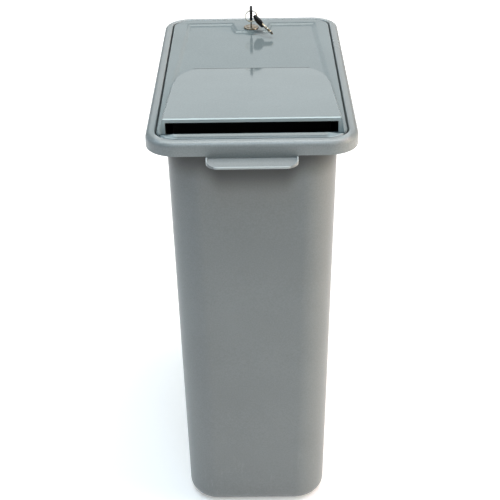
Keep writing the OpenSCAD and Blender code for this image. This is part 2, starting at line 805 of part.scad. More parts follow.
module head() {
    low = key_hole_in - head_l;
    corner = 5;
    neck = 0.62 * head_w;
    difference() {
        translate([-head_t / 2, 0, 0]) rotate([90, 0, 90]) linear_extrude(head_t)
            polygon([[-neck / 2, low], [neck / 2, low], [head_w / 2, low + corner],
                [head_w / 2, key_hole_in - corner], [head_w / 2 - corner, key_hole_in],
                [-head_w / 2 + corner, key_hole_in], [-head_w / 2, key_hole_in - corner],
                [-head_w / 2, low + corner]]);
        rotate([0, 90, 0]) cylinder(h = 2 * head_t, d = key_hole_d, center = true);
        translate([-blade_t / 2, -blade_w / 2, low - eps])
            cube([blade_t, blade_w, blade_in_head + eps]);
    }
}

module at_key() {
    translate([0, lock_y, hole_z]) children();
}

module at_spare() {
    translate(spare_pos) rotate([0, spare_down - 90, spare_turn]) rotate([0, 0, spare_roll])
        children();
}

module key_blade() {
    color(nickel) at_key() blade();
}

module key_head() {
    color(black) at_key() head();
}

module key_ring() {
    color(nickel) translate([0, ring_y, ring_z]) rotate([ring_dip, 0, 0])
        rotate_extrude() translate([ring_r, 0]) circle(wire_r, $fn = 24);
}

module spare_blade() {
    color(nickel) at_spare() blade();
}

module spare_head() {
    color(black) at_spare() head();
}

container();
lid_frame();
frame_screws();
lid();
paper_guard();
guard_screws();
hinge_pin_left();
hinge_pin_right();
lock_body();
lock_washer();
lock_nut();
lock_plug();
lock_wafers();
lock_cam();
cam_washer();
cam_screw();
keeper();
keeper_rivets();
key_blade();
key_head();
key_ring();
spare_blade();
spare_head();
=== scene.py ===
# %% [markdown]
# # A locking paper console
# The real object is a slim waste container of moulded grey plastic. A lid frame sits on its
# rim, and in the frame lies a lid with a raised hood, a letter slot and a cam lock. The solid
# model gives every piece its place, and this script gives each piece its final form and
# finish. Everything is in metres, with the middle of the base at the origin, so a size that
# is known from the solid model is used as it is.

import math

import bmesh
import bpy
from mathutils import Matrix, Vector


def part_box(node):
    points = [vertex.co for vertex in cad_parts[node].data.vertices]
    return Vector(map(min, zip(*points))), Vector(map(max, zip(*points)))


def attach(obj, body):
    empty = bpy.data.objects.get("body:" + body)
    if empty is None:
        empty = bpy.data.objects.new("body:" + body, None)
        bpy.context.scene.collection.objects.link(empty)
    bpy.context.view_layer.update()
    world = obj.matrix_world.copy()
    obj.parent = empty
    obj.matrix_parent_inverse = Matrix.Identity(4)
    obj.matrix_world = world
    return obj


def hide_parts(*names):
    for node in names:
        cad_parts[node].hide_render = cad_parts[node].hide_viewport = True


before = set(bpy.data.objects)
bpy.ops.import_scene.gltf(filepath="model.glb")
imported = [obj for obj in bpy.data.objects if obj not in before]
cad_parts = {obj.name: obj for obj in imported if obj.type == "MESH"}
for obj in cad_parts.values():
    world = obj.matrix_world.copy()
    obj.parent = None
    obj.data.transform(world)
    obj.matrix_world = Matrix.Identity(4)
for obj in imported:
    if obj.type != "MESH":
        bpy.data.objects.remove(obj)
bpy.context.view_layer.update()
MM = 0.001

# %% [markdown]
# ## The camera
# The photograph looks down on the slot end from well above, with a long lens. The camera's
# place could be found by eye, but a fit to the measured corners of the rim, the slot and the
# foot is surer: it gives a distance, three angles and the lens. The picture is square.

# %% Camera
EYE = (0.004925, -1.61097, 1.2346)
PITCH, ROLL, YAW = (math.radians(a) for a in (29.316, -0.904, -0.398))
SENSOR = 36.0
FOCAL_PIXELS, PICTURE = 1160.763, 500

ahead = Vector(
    (math.sin(YAW) * math.cos(PITCH), math.cos(YAW) * math.cos(PITCH), -math.sin(PITCH))
)
level = Vector((math.cos(YAW), -math.sin(YAW), 0))
down = ahead.cross(level)
right = level * math.cos(ROLL) - down * math.sin(ROLL)
lower = level * math.sin(ROLL) + down * math.cos(ROLL)
camera = bpy.data.objects.new("camera", bpy.data.cameras.new("camera"))
camera.data.sensor_width = SENSOR
camera.data.lens = SENSOR * FOCAL_PIXELS / PICTURE
camera.matrix_world = Matrix.Translation(EYE) @ Matrix(
    (right, -lower, -ahead)
).transposed().to_4x4()
bpy.context.scene.collection.objects.link(camera)
bpy.context.scene.camera = camera
print("lens", round(camera.data.lens, 2), "mm")

# %% [markdown]
# ## The studio
# The photograph's light comes mostly from above: the skirt and the body are darker than the
# lid, and the rim throws a shade on the body. A wide box hangs above, and the slopes mirror
# it. A cool one hangs above and in front, a large one stands behind that the glossy lid
# mirrors, and warm ones stand on the right. Each was rendered alone, and the strengths were
# set so that their sum gives the photograph's tones. Test renders then changed a few, and
# added two small lamps high at the sides, which brighten the rim's two front corners.

# %% Lamps and world
WHITE, WORLD_GLOW = (1.0, 1.0, 1.0), 0.08


def lamp(name, place, aim, width, power, colour, length=None):
    """A soft lamp at a place, turned to a point. It's square unless it's given a length."""
    light = bpy.data.lights.new(name, "AREA")
    light.shape, light.size, light.size_y = "RECTANGLE", width, length or width
    light.energy, light.color = power, colour
    holder = bpy.data.objects.new(name, light)
    holder.location = place
    holder.rotation_euler = (Vector(aim) - Vector(place)).to_track_quat("-Z", "Y").to_euler()
    bpy.context.scene.collection.objects.link(holder)


world = bpy.data.worlds.new("studio")
world.use_nodes = True
backdrop = world.node_tree.nodes["Background"].inputs
backdrop["Color"].default_value = (*WHITE, 1)
backdrop["Strength"].default_value = WORLD_GLOW
bpy.context.scene.world = world
bpy.context.scene.view_settings.view_transform = "Standard"
lamp("lamp_top", (0, 0.25, 2.6), (0, 0.05, 0.6), 2.2, 50, (0.95, 1.0, 0.98), length=1.4)
lamp("lamp_top_front", (0, -1.4, 2.9), (0, 0, 0.5), 1.4, 26.6, (0.59, 0.82, 1.0))
lamp("lamp_back", (0, 2.8, 1.75), (0, 0, 0.6), 2.4, 17.2, (0.95, 1.0, 1.0))
lamp("lamp_right", (2.3, -0.7, 1.0), (0, 0, 0.35), 1.2, 31.5, (1.0, 0.88, 0.65))
lamp("lamp_right_top", (1.9, 0, 2.2), (0, 0, 0.6), 1.0, 19.6, (1.0, 0.55, 0.5))
lamp("lamp_left_top", (-1.9, 0, 2.2), (0, 0, 0.6), 1.0, 2.9, (0.1, 0.55, 1.0))
for side in (-1, 1):
    lamp("lamp_corner", (side * 1.5, -0.25, 2.5), (0, 0, 0.6), 0.45, 9, WHITE)
print("lamps", len(bpy.data.lights))

# %% [markdown]
# ## Sums with shader sockets
# A finish is a web of nodes. Linking them one at a time is slow to read, so a small class
# wraps a socket: written sums then add the Math nodes. One method makes any other node.


# %% Socket class
class Value:
    """A node's output that can be used in sums."""

    def __init__(self, finish, socket):
        self.finish, self.socket = finish, socket

    def math(self, how, first, second):
        return self.finish.node("ShaderNodeMath", {"operation": how}, {0: first, 1: second})

    def __add__(self, other):
        return self.math("ADD", self, other)

    def __radd__(self, other):
        return self.math("ADD", other, self)

    def __sub__(self, other):
        return self.math("SUBTRACT", self, other)

    def __rsub__(self, other):
        return self.math("SUBTRACT", other, self)

    def __mul__(self, other):
        return self.math("MULTIPLY", self, other)

    def __rmul__(self, other):
        return self.math("MULTIPLY", other, self)

    def size(self):
        """The value without its sign."""
        return self.finish.node("ShaderNodeMath", {"operation": "ABSOLUTE"}, {0: self})

    def clear(self, low, high):
        """0 below low, 1 above high, and smooth between."""
        return self.finish.node(
            "ShaderNodeMapRange",
            {"interpolation_type": "SMOOTHSTEP"},
            {"Value": self, "From Min": low, "From Max": high},
        )

    def rise(self, low, high):
        """The same, between two places in millimetres."""
        return self.clear(low * MM, high * MM)


print("socket class ready")

# %% [markdown]
# A finish is one material on the Principled shader. Its patterns read the piece's own
# coordinates, which are real sizes here. So a noise can be asked for by the width of its
# blotches, and a mask by a place on the piece.


# %% Finish class
class Finish:
    """One material, built on the Principled shader."""

    def __init__(self, name, **sockets):
        self.material = bpy.data.materials.new(name)
        self.material.use_nodes = True
        self.tree = self.material.node_tree
        self.shader = self.tree.nodes["Principled BSDF"]
        self.surface(**sockets)
        self.place = self.node("ShaderNodeTexCoord", out="Object")

    def set(self, node, sockets):
        for key, value in sockets.items():
            if isinstance(value, Value):
                self.tree.links.new(value.socket, node.inputs[key])
            else:
                node.inputs[key].default_value = value

    def node(self, kind, settings=None, sockets=None, out=0):
        """Adds a node: settings first, then its sockets."""
        node = self.tree.nodes.new(kind)
        for key, value in (settings or {}).items():
            setattr(node, key, value)
        self.set(node, sockets or {})
        return Value(self, node.outputs[out])

    def axis(self, letter):
        """The place along x, y or z."""
        return self.node("ShaderNodeSeparateXYZ", {}, {"Vector": self.place}, out=letter)

    def off_middle(self, letter):
        """The distance from the middle along x or y."""
        return self.axis(letter).size()

    def noise(self, size, detail=2.0, stretch=(1, 1, 1), rough=0.5):
        """Noise whose blotches are about this many metres across."""
        where = self.node(
            "ShaderNodeMapping",
            {"vector_type": "POINT"},
            {"Vector": self.place, "Scale": stretch},
        )
        return self.node(
            "ShaderNodeTexNoise",
            {},
            {"Vector": where, "Scale": 1 / size, "Detail": detail, "Roughness": rough},
        )

    def mix(self, share, first, second):
        """A colour between two."""
        return self.node(
            "ShaderNodeMix", {"data_type": "RGBA"}, {0: share, 6: first, 7: second}, out=2
        )

    def bump(self, height, depth):
        """Height from 0 to 1 becomes a relief this many metres deep."""
        return self.node(
            "ShaderNodeBump",
            {},
            {"Height": height, "Distance": depth, "Strength": 1.0},
        )

    def surface(self, **sockets):
        """Sets or links the shader's own sockets."""
        self.set(self.shader, {k.replace("_", " "): v for k, v in sockets.items()})


print("finish class ready")

# %% [markdown]
# ## Plastic finishes
# The container, frame and lid are one kind of grey plastic, in different tones and gloss.
# Moulded plastic is never one flat colour: it has faint flow marks, a fine speck and grain
# that the mould leaves, and scuffs low on the body. Each is a noise of its own real size,
# and only the colour, roughness and bump change with it.

# %% Moulded finish
FLOW_SIZE, SPECK_SIZE, SCUFF_SIZE = 90 * MM, 2 * MM, 7 * MM
FLOW_SHARE, SPECK_SHARE, SCUFF_TONE = 0.35, 0.65, 1.35


def grey(r, g, b):
    """A colour as it is read from a picture, 0 to 255, made linear."""

    def one(v):
        v /= 255
        return v / 12.92 if v <= 0.04045 else ((v + 0.055) / 1.055) ** 2.4

    return (one(r), one(g), one(b), 1)


def times(tone, by):
    """A tone made lighter or darker."""
    return tuple(min(1, v * by) for v in tone[:3]) + (1,)


def moulded(name, tone, gloss, grain, grain_depth, scuffs=False, shine=0.5, places=()):
    """Places are painted highlights and shade: each a mask function and a tone's factor."""
    finish = Finish(name, Specular_IOR_Level=shine)
    flow = finish.noise(FLOW_SIZE, 3)
    speck = finish.noise(SPECK_SIZE, 2)
    shade = flow * FLOW_SHARE + speck * SPECK_SHARE
    colour = finish.mix(shade.clear(0.3, 0.7), times(tone, 0.92), times(tone, 1.08))
    # Each place paints a highlight or a shade into the colour.
    for mask, by in places:
        colour = finish.mix(mask(finish), colour, times(tone, by))
    fine = finish.noise(grain, 3)
    rough = gloss + (flow - 0.5) * 0.06
    if scuffs:
        low = 1 - finish.axis("Z").rise(10, 160)
        streaks = finish.noise(SCUFF_SIZE, 4, stretch=(1, 1, 0.25), rough=0.7)
        rub = streaks.clear(0.56, 0.72) * low
        colour = finish.mix(rub * 0.5, colour, times(tone, SCUFF_TONE))
        rough = rough + rub * 0.18
    finish.surface(
        Base_Color=colour,
        Roughness=rough,
        Normal=finish.bump(fine, grain_depth),
    )
    return finish


print("moulded finish ready")

# %% [markdown]
# Light and shade are painted into the plastic's colour at a few places: painted highlights on
# the hood's front edge, the handles' rims and the lid's front corners, and painted shade
# under the skirt, in the crease behind the hood and on the frame's long bands. A painted
# picture could hold them, but a mask made of places on the piece is exact. Each mask is 1
# where the tone changes, and fades out at its borders.

# %% Painted highlights and shade
# The second number is how much lower the painted shade reaches under the handles.
CREASE_Y, SHADE_DROP = 23.1 * MM, 20 * MM


def painted_brow_highlight(finish):
    """A painted highlight on the hood's front edge."""
    y, z = finish.axis("Y"), finish.axis("Z")
    return y.rise(-232, -229) * (1 - y.rise(-226.2, -224.6)) * z.rise(630.1, 631)


def painted_crease_shade(finish):
    """A painted shade line in the crease behind the hood, on the lid's upper side only."""
    off, wide = (finish.axis("Y") - CREASE_Y).size(), finish.off_middle("X")
    z = finish.axis("Z")
    low = z.rise(625.8, 626.2) * (1 - z.rise(626.8, 627.4))
    return (1 - off.rise(0.7, 1.7)) * (1 - wide.rise(82, 90)) * low


def painted_rim_highlight(finish):
    """A painted highlight on the handles' rims."""
    x, y = finish.off_middle("X"), finish.off_middle("Y")
    end, side = y.rise(275, 276), x.rise(57.4, 58.6)
    return (1 - (1 - end) * (1 - side)) * y.rise(254, 256)


def painted_skirt_shade(finish):
    """Painted shade under the skirt, reaching lower down under the handles."""
    x, y = finish.off_middle("X"), finish.off_middle("Y")
    under_handle = (1 - x.rise(40, 72)) * y.rise(190, 224)
    height = finish.axis("Z") + under_handle * SHADE_DROP
    return height.rise(560, 600) * (1 - y.rise(240, 247))


def painted_band_shade(finish):
    """Painted shade on the frame's long flat bands, which are made darker."""
    return finish.off_middle("X").rise(123, 129) * finish.axis("Z").rise(625, 629.6)


def painted_corner_highlight(finish):
    """A painted highlight on the lid's two front corners."""
    front = 1 - finish.axis("Y").rise(-230, -227)
    return front * finish.off_middle("X").rise(94, 104)


print("masks ready")

# %% [markdown]
# The tones were set by test renders beside the photograph. Of the three greys the lid is
# the glossiest, because the keys are mirrored in it, and the container is the dullest.

# %% Grey and black plastics
BODY_TONE = grey(139, 145, 146)
LID_TONE = grey(104, 114, 116)
# Painted shade under the skirt and handles, and a painted highlight on the handles' rims.
container_finish = moulded(
    "container_plastic", times(BODY_TONE, 0.77), 0.34, 1.1 * MM, 0.04 * MM, scuffs=True,
    places=((painted_skirt_shade, 0.2), (painted_rim_highlight, 2)),
)
# Painted shade on the frame's long flat bands.
frame_finish = moulded(
    "frame_plastic", BODY_TONE, 0.26, 1.3 * MM, 0.02 * MM, shine=0.38,
    places=((painted_band_shade, 0.72),),
)
# Painted highlights on the hood's front and front corners, and painted shade in the crease.
lid_finish = moulded(
    "lid_plastic", LID_TONE, 0.08, 2.2 * MM, 0.004 * MM,
    places=((painted_brow_highlight, 2.5), (painted_crease_shade, 0.2), (painted_corner_highlight, 2)),
)
guard_finish = moulded("guard_plastic", grey(22, 22, 23), 0.5, 0.9 * MM, 0.05 * MM)
key_black = moulded("key_black", grey(9, 9, 10), 0.5, 0.6 * MM, 0.03 * MM, shine=0.25)
print("plastics", 5)

# %% [markdown]
# ## Metal finishes
# The lock's face and the keys are nickel plated brass: finely brushed, with marks that run
# upright, and patches of a warmer tone where the brass shows through. The hidden hardware
# is zinc plated steel, with the cloudy patches that zinc has.

# %% Metals
BRUSH_SIZE, BRUSH_DEPTH = 0.35 * MM, 0.008 * MM
EVEN, UPRIGHT = (1, 1, 1), (1, 1, 0.1)


def metal(name, tone, patch, rough, size, stretch):
    """A plated metal with patches of a second tone, and brush marks that can be stretched."""
    finish = Finish(name, Metallic=1.0)
    cloud = finish.noise(size, 3)
    brush = finish.noise(BRUSH_SIZE, 3, stretch=stretch, rough=0.7)
    finish.surface(
        Base_Color=finish.mix(cloud.clear(0.35, 0.7), tone, patch),
        Roughness=rough + (cloud - 0.5) * 0.1 + (brush - 0.5) * 0.12,
        Normal=finish.bump(brush, BRUSH_DEPTH),
    )
    return finish


zinc = metal("zinc_steel", grey(188, 190, 192), grey(165, 168, 172), 0.34, 6 * MM, EVEN)
lock_nickel = metal(
    "lock_nickel", grey(168, 160, 148), grey(134, 112, 84), 0.3, 4 * MM, UPRIGHT
)
key_nickel = metal(
    "key_nickel", grey(150, 144, 134), grey(118, 98, 66), 0.28, 5 * MM, UPRIGHT
)
print("metals", 3)

# %% [markdown]
# ## The solid model's own pieces
# The guard, the screws, the pins and the lock's inside keep the solid model's shape, because
# it is already right. They only need a finish. Every node gets one here, and the pieces that
# are modelled below stand in for theirs later.

# %% Dress the solid model's own nodes
FINISH_OF_SLOT = {
    "container_plastic": container_finish,
    "frame_plastic": frame_finish,
    "lid_plastic": lid_finish,
    "guard_plastic": guard_finish,
    "zinc_steel": zinc,
    "lock_nickel": lock_nickel,
    "key_nickel": key_nickel,
    "key_black": key_black,
}


def dress(piece, slot):
    """Gives a piece one finish, the one that belongs to its slot."""
    piece.data.materials.clear()
    piece.data.materials.append(FINISH_OF_SLOT[slot].material)


SLOT_OF_NODE = {
    "container": "container_plastic",
    "lid_frame": "frame_plastic",
    "lid": "lid_plastic",
    "paper_guard": "guard_plastic",
    "lock_body": "lock_nickel",
    "lock_plug": "lock_nickel",
    "lock_wafers": "lock_nickel",
    "key_blade": "key_nickel",
    "spare_blade": "key_nickel",
    "key_ring": "key_nickel",
    "key_head": "key_black",
    "spare_head": "key_black",
}
for name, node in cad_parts.items():
    dress(node, SLOT_OF_NODE.get(name, "zinc_steel"))
print("dressed", len(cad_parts), "nodes")

# %% [markdown]
# ## The floor
# The photograph's ground is plain white. A white floor under soft lamps comes out grey far
# from them, so this one glows a little, and more behind the object.

# %% Floor
FLOOR_SIZE, FLOOR_GLOW = 12, 0.8

bpy.ops.object.select_all(action="DESELECT")
bpy.ops.mesh.primitive_plane_add(size=FLOOR_SIZE, location=(0, 0, 0))
floor = bpy.context.object
floor.name = "floor"
floor_finish = Finish("studio_floor", Roughness=0.9)
far = floor_finish.axis("Y")
floor_finish.surface(
    Base_Color=floor_finish.mix(
        floor_finish.noise(0.6, 2), (0.86, 0.86, 0.86, 1), (0.9, 0.9, 0.9, 1)
    ),
    Emission_Color=floor_finish.mix(
        far.clear(0.3, 2.2), (0.42, 0.42, 0.42, 1), (0.9, 0.9, 0.9, 1)
    ),
    Emission_Strength=FLOOR_GLOW,
)
floor.data.materials.append(floor_finish.material)
print("floor", FLOOR_SIZE, "m")

# %% [markdown]
# ## Working by hand, in code
# Each new piece is modelled as it would be at the screen: a primitive is added, and then
# shaped in edit mode. An operator works on what is selected, so everything is deselected
# first, and then verts, edges or faces are picked by where they are.

# %% Picking
NEAR = 0.02 * MM


def leave():
    """Back to object mode, with nothing selected."""
    if bpy.context.object and bpy.context.object.mode != "OBJECT":
        bpy.ops.object.mode_set(mode="OBJECT")
    bpy.ops.object.select_all(action="DESELECT")


def hold(*pieces):
    """Selects these objects only. The first is the active one."""
    leave()
    for piece in pieces:
        piece.select_set(True)
    bpy.context.view_layer.objects.active = pieces[0]


def edit(piece):
    """Edit mode on one piece, with all of it selected."""
    hold(piece)
    bpy.ops.object.mode_set(mode="EDIT")
    bpy.ops.mesh.select_all(action="SELECT")


def pick(kind, test, whole=None):
    """Selects each vert, edge or face whose points all pass test, and which passes whole."""
    piece = bpy.context.edit_object
    bpy.ops.mesh.select_mode(type={"verts": "VERT", "edges": "EDGE", "faces": "FACE"}[kind])
    bpy.ops.mesh.select_all(action="DESELECT")
    mesh = bmesh.from_edit_mesh(piece.data)
    count = 0
    for part in getattr(mesh, kind):
        points = [part.co] if kind == "verts" else [v.co for v in part.verts]
        if all(test(p) for p in points) and (whole is None or whole(part)):
            part.select_set(True)
            count += 1
    bmesh.update_edit_mesh(piece.data)
    return count


print("picking ready")

# %% [markdown]
# A few steps come back in nearly every piece: an extrusion, a cut with a plane, a modifier
# that is applied at once, and a boolean whose tool is dropped. A carved or joined piece then
# has its doubles merged and its faces pointed outwards.


# %% Cutting and joining
def lift(x=0, y=0, z=0):
    """Extrudes what is selected by a distance."""
    bpy.ops.mesh.extrude_region_move(TRANSFORM_OT_translate={"value": (x, y, z)})


def slice_at(place, normal, among=None, **how):
    """Cuts the whole mesh, or only the faces whose middle passes among, with a plane."""
    if among:
        pick("faces", lambda p: True, lambda face: among(face.calc_center_median()))
    else:
        bpy.ops.mesh.select_all(action="SELECT")
    bpy.ops.mesh.bisect(plane_co=place, plane_no=normal, **how)


def apply(piece, kind, **settings):
    """Adds a modifier, sets it and applies it."""
    hold(piece)
    modifier = piece.modifiers.new(kind.lower(), kind)
    for key, value in settings.items():
        setattr(modifier, key, value)
    bpy.ops.object.modifier_apply(modifier=modifier.name)


def soften(piece, width, steps, limit=0.7):
    """Bevels every edge that is sharper than a limit."""
    apply(
        piece, "BEVEL", width=width, segments=steps, limit_method="ANGLE", angle_limit=limit
    )


def carve(piece, tool, how="DIFFERENCE"):
    """Cuts a tool out of a piece, or joins it on, and drops the tool."""
    apply(piece, "BOOLEAN", object=tool, operation=how, solver="MANIFOLD")
    bpy.data.objects.remove(tool)


def outward(piece):
    """Merges doubles and points every face outwards."""
    edit(piece)
    bpy.ops.mesh.remove_doubles(threshold=0.002 * MM)
    bpy.ops.mesh.normals_make_consistent(inside=False)
    leave()


print("cutting ready")

# %% [markdown]
# A finished piece sits at the origin, unturned, with its place in its mesh. It is shaded
# smooth up to an angle, and its normals are weighted by face size, so that large flat faces
# stay flat beside their small rounded edges.

# %% Finishing a piece
SMOOTH_ANGLE = math.radians(32)


def done(piece, name, slot, body, nodes):
    """Smooths a finished piece, settles it at the origin, and gives it a finish and body."""
    hold(piece)
    piece.name = piece.data.name = name
    bpy.ops.object.transform_apply(location=True, rotation=True, scale=True)
    bpy.ops.object.shade_smooth_by_angle(angle=SMOOTH_ANGLE)
    apply(piece, "WEIGHTED_NORMAL", keep_sharp=True, weight=60)
    dress(piece, slot)
    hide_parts(*nodes)
    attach(piece, body)
    leave()
    top = max(v.co.z for v in piece.data.vertices)
    print(name, len(piece.data.polygons), "faces, top", round(top, 4))


print("finishing ready")

# %% [markdown]
# The body, the frame and the lid are all rounded rectangles seen from above. Such an outline
# is three numbers: half its width, half its length and its corners' radius. A plate of that
# outline is a plane whose four corner points are bevelled, and a signed distance tells which
# points lie on the outline.


# %% Rounded rectangles
def rounded_plate(outline, z, steps):
    """A flat face with round corners."""
    half_x, half_y, radius = outline
    leave()
    bpy.ops.mesh.primitive_plane_add(size=1, location=(0, 0, z))
    plate = bpy.context.object
    edit(plate)
    bpy.ops.transform.resize(value=(2 * half_x, 2 * half_y, 1))
    bpy.ops.mesh.bevel(offset=radius, segments=steps, affect="VERTICES")
    hold(plate)
    bpy.ops.object.transform_apply(location=True)
    return plate


def beyond(p, half_x, half_y, radius):
    """How far a point lies outside a rounded rectangle in plan."""
    across = max(abs(p.x) - half_x + radius, 0)
    along = max(abs(p.y) - half_y + radius, 0)
    return math.hypot(across, along) - radius


def reshape(z, start, end):
    """Moves the outline at a height to another rounded rectangle, a corner at a time."""
    for side_x in (-1, 1):
        for side_y in (-1, 1):
            pick("verts", lambda p: abs(p.z - z) < NEAR and p.x * side_x > 0 < p.y * side_y)
            middle = [start[i] - start[2] for i in (0, 1)]
            moved = [end[i] - end[2] - middle[i] for i in (0, 1)]
            bpy.ops.transform.resize(
                value=(end[2] / start[2], end[2] / start[2], 1),
                center_override=(side_x * middle[0], side_y * middle[1], z),
            )
            bpy.ops.transform.translate(value=(side_x * moved[0], side_y * moved[1], 0))


def on_outline(outline, z):
    """A test for points on a rounded rectangle's outline at a height."""
    return lambda p: abs(beyond(p, *outline)) < 5 * NEAR and abs(p.z - z) < 5 * NEAR


print("outlines ready")

# %% [markdown]
# ## The container
# The real container is one moulding: tapered sides with wide round corners, a rounded foot,
# a shoulder and an upright lip that the frame covers, and a shelf handle at each end. It
# could be a tapered cube with bevelled edges, but starting from a rounded plate keeps the
# corner's radius the same from foot to mouth, as it is on the real one.

# %% Container body
SHOULDER_Z, LIP_Z = 609.1 * MM, 622.9 * MM
FOOT = (104.1 * MM, 218.4 * MM, 46 * MM)
WAIST = (114.5 * MM, 228.8 * MM, 46 * MM)
LIP = (136.4 * MM, 250.7 * MM, 38.7 * MM)
FOOT_R, FOOT_STEPS, CORNER_STEPS = 18.4 * MM, 9, 14

body = rounded_plate(FOOT, 0, CORNER_STEPS)
edit(body)
lift(z=SHOULDER_Z)
reshape(SHOULDER_Z, FOOT, WAIST)
pick("edges", lambda p: p.z < NEAR)
bpy.ops.mesh.bevel(offset=FOOT_R, segments=FOOT_STEPS, affect="EDGES")
print("body", len(bmesh.from_edit_mesh(body.data).faces), "faces")

# %% [markdown]
# The shoulder is flat, so its two outlines can't be told apart by height. The new one is
# lifted by a short step, reshaped there, and then let down again. The lip goes up from it,
# and the open shell is given its wall thickness at the end.

# %% Shoulder and upright lip
STEP, CONTAINER_T, LIP_ROUND = 1 * MM, 2.8 * MM, 0.9 * MM

pick("faces", lambda p: p.z > SHOULDER_Z - NEAR)
lift(z=STEP)
reshape(SHOULDER_Z + STEP, WAIST, LIP)
pick("faces", lambda p: p.z > SHOULDER_Z + STEP - NEAR)
bpy.ops.transform.translate(value=(0, 0, -STEP))
lift(z=LIP_Z - SHOULDER_Z)
bpy.ops.mesh.delete(type="ONLY_FACE")
outward(body)
apply(body, "SOLIDIFY", thickness=CONTAINER_T, offset=-1, use_even_offset=True)
soften(body, LIP_ROUND, 3)
print("container shell", len(body.data.polygons), "faces")

# %% [markdown]
# ### The handles
# Each handle is a thin tray that slopes down from the skirt, with a low rim round its free
# sides. The slope turns it to the light from above, and the rounded rim, with a painted
# highlight on it, draws the bright line that the photograph has there.

# %% Handle tray
HANDLE = (59.5 * MM, 276.7 * MM, 17 * MM)
SHELF_LOW, SHELF_TOP, ROOT_Y = 602.6 * MM, 603.8 * MM, -247.9 * MM
LIP_H, LIP_T, LIP_END_Y = 1.6 * MM, 2.2 * MM, -254.3 * MM
LIP_SEAM, ROOT_RUN = 0.06 * MM, 2.8 * MM

leave()
bpy.ops.mesh.primitive_plane_add(size=1, location=(0, 0, SHELF_LOW))
shelf = bpy.context.object
edit(shelf)
bpy.ops.transform.resize(value=(2 * HANDLE[0], HANDLE[1] + ROOT_Y, 1))
bpy.ops.transform.translate(value=(0, (ROOT_Y - HANDLE[1]) / 2, 0))
pick("verts", lambda p: p.y < ROOT_Y - NEAR)
bpy.ops.mesh.bevel(offset=HANDLE[2], segments=9, affect="VERTICES")
hold(shelf)
bpy.ops.object.transform_apply(location=True)
edit(shelf)
lift(z=SHELF_TOP - SHELF_LOW)
pick("faces", lambda p: p.z > SHELF_TOP - NEAR)
bpy.ops.mesh.inset(thickness=LIP_T)
for y in (LIP_END_Y, LIP_END_Y + LIP_SEAM, ROOT_Y - ROOT_RUN):
    slice_at((0, y, 0), (0, 1, 0))
print("tray", len(bmesh.from_edit_mesh(shelf.data).faces), "faces")

# %% [markdown]
# The ring of faces between the tray's edge and its inset is raised, and the tray is tilted
# about its free edge. Behind the skirt a short root goes up into the shoulder. The second
# handle is a copy turned half round.

# %% Tray's rim, its tilt and the second handle
TRAY_TILT = math.radians(12)
ROOT_OVERLAP, TRAY_ROUND = 1 * MM, 0.65 * MM


def in_lip(face):
    """Whether a face of the tray's top lies in the ring that becomes its rim."""
    middle = face.calc_center_median()
    return middle.y < LIP_END_Y and beyond(middle, *HANDLE) > -LIP_T + NEAR


print("lip faces", pick("faces", lambda p: p.z > SHELF_TOP - NEAR, in_lip))
lift(z=LIP_H)
pick("verts", lambda p: p.z > SHELF_TOP - NEAR and p.y < LIP_END_Y + NEAR)
bpy.ops.transform.rotate(
    value=-TRAY_TILT, orient_axis="X", center_override=(0, -HANDLE[1], SHELF_TOP)
)
pick("faces", lambda p: p.z > SHELF_TOP - NEAR and p.y > ROOT_Y - ROOT_RUN - NEAR / 2)
lift(z=SHOULDER_Z + ROOT_OVERLAP - SHELF_TOP)
outward(shelf)
soften(shelf, TRAY_ROUND, 3)
rear = shelf.copy()
rear.data = shelf.data.copy()
bpy.context.scene.collection.objects.link(rear)
hold(rear)
rear.rotation_euler = (0, 0, math.pi)
bpy.ops.object.transform_apply(rotation=True)
hold(body, shelf, rear)
bpy.ops.object.join()
done(body, "container_moulding", "container_plastic", "bin", ["container"])

# %% [markdown]
# ## The lid frame
# The frame is a hollow bead: a skirt outside, a round top edge, a flat band and a wall down
# to the ledge that the lid's flange comes down to. Its section could be swept round a path,
# but an inset of a rounded plate gives the same offset at the corners with fewer steps.

# %% Lid frame's shell
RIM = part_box("lid_frame")[1]
RIM_OUTLINE = (RIM.x, RIM.y, 42 * MM)
BAND, FRAME_T = 12.7 * MM, 2.8 * MM
SKIRT_Z, LEDGE_Z, APRON_Z = 610.6 * MM, 615 * MM, 604.2 * MM
MOUTH = (111.7 * MM, 226 * MM, 43.2 * MM)


def shrunk(outline, by):
    """The outline moved in all round."""
    return tuple(v - by for v in outline)


bead = rounded_plate(RIM_OUTLINE, RIM.z, CORNER_STEPS)
edit(bead)
bpy.ops.mesh.inset(thickness=BAND)
lift(z=LEDGE_Z - RIM.z)
lift(z=-STEP)
reshape(LEDGE_Z - STEP, shrunk(RIM_OUTLINE, BAND), MOUTH)
pick("faces", lambda p: p.z < LEDGE_Z - STEP + NEAR)
bpy.ops.transform.translate(value=(0, 0, STEP))
bpy.ops.mesh.delete(type="ONLY_FACE")
pick("edges", on_outline(RIM_OUTLINE, RIM.z))
lift(z=SKIRT_Z - RIM.z)
for side_x in (-1, 1):
    slice_at((side_x * HANDLE[0], 0, 0), (1, 0, 0))
print("apron edges", pick(
    "edges", lambda p: abs(p.z - SKIRT_Z) < NEAR and abs(p.x) < HANDLE[0] + NEAR
    and abs(p.y) > RIM.y - NEAR))
lift(z=APRON_Z - SKIRT_Z)
outward(bead)
apply(bead, "SOLIDIFY", thickness=FRAME_T, offset=-1, use_even_offset=True)
print("frame shell", len(bead.data.polygons), "faces")

# %% [markdown]
# Three edges are rounded by radii of their own: the outer top edge, which makes the bead,
# the inner one at the recess, and the hollow's edge underneath, which follows the bead. A
# last small bevel takes the sharpness off the others.

# %% Rounded bead
BEAD_R, RECESS_R, HOLLOW_R, FRAME_ROUND = 7.4 * MM, 1.8 * MM, 4.6 * MM, 0.5 * MM

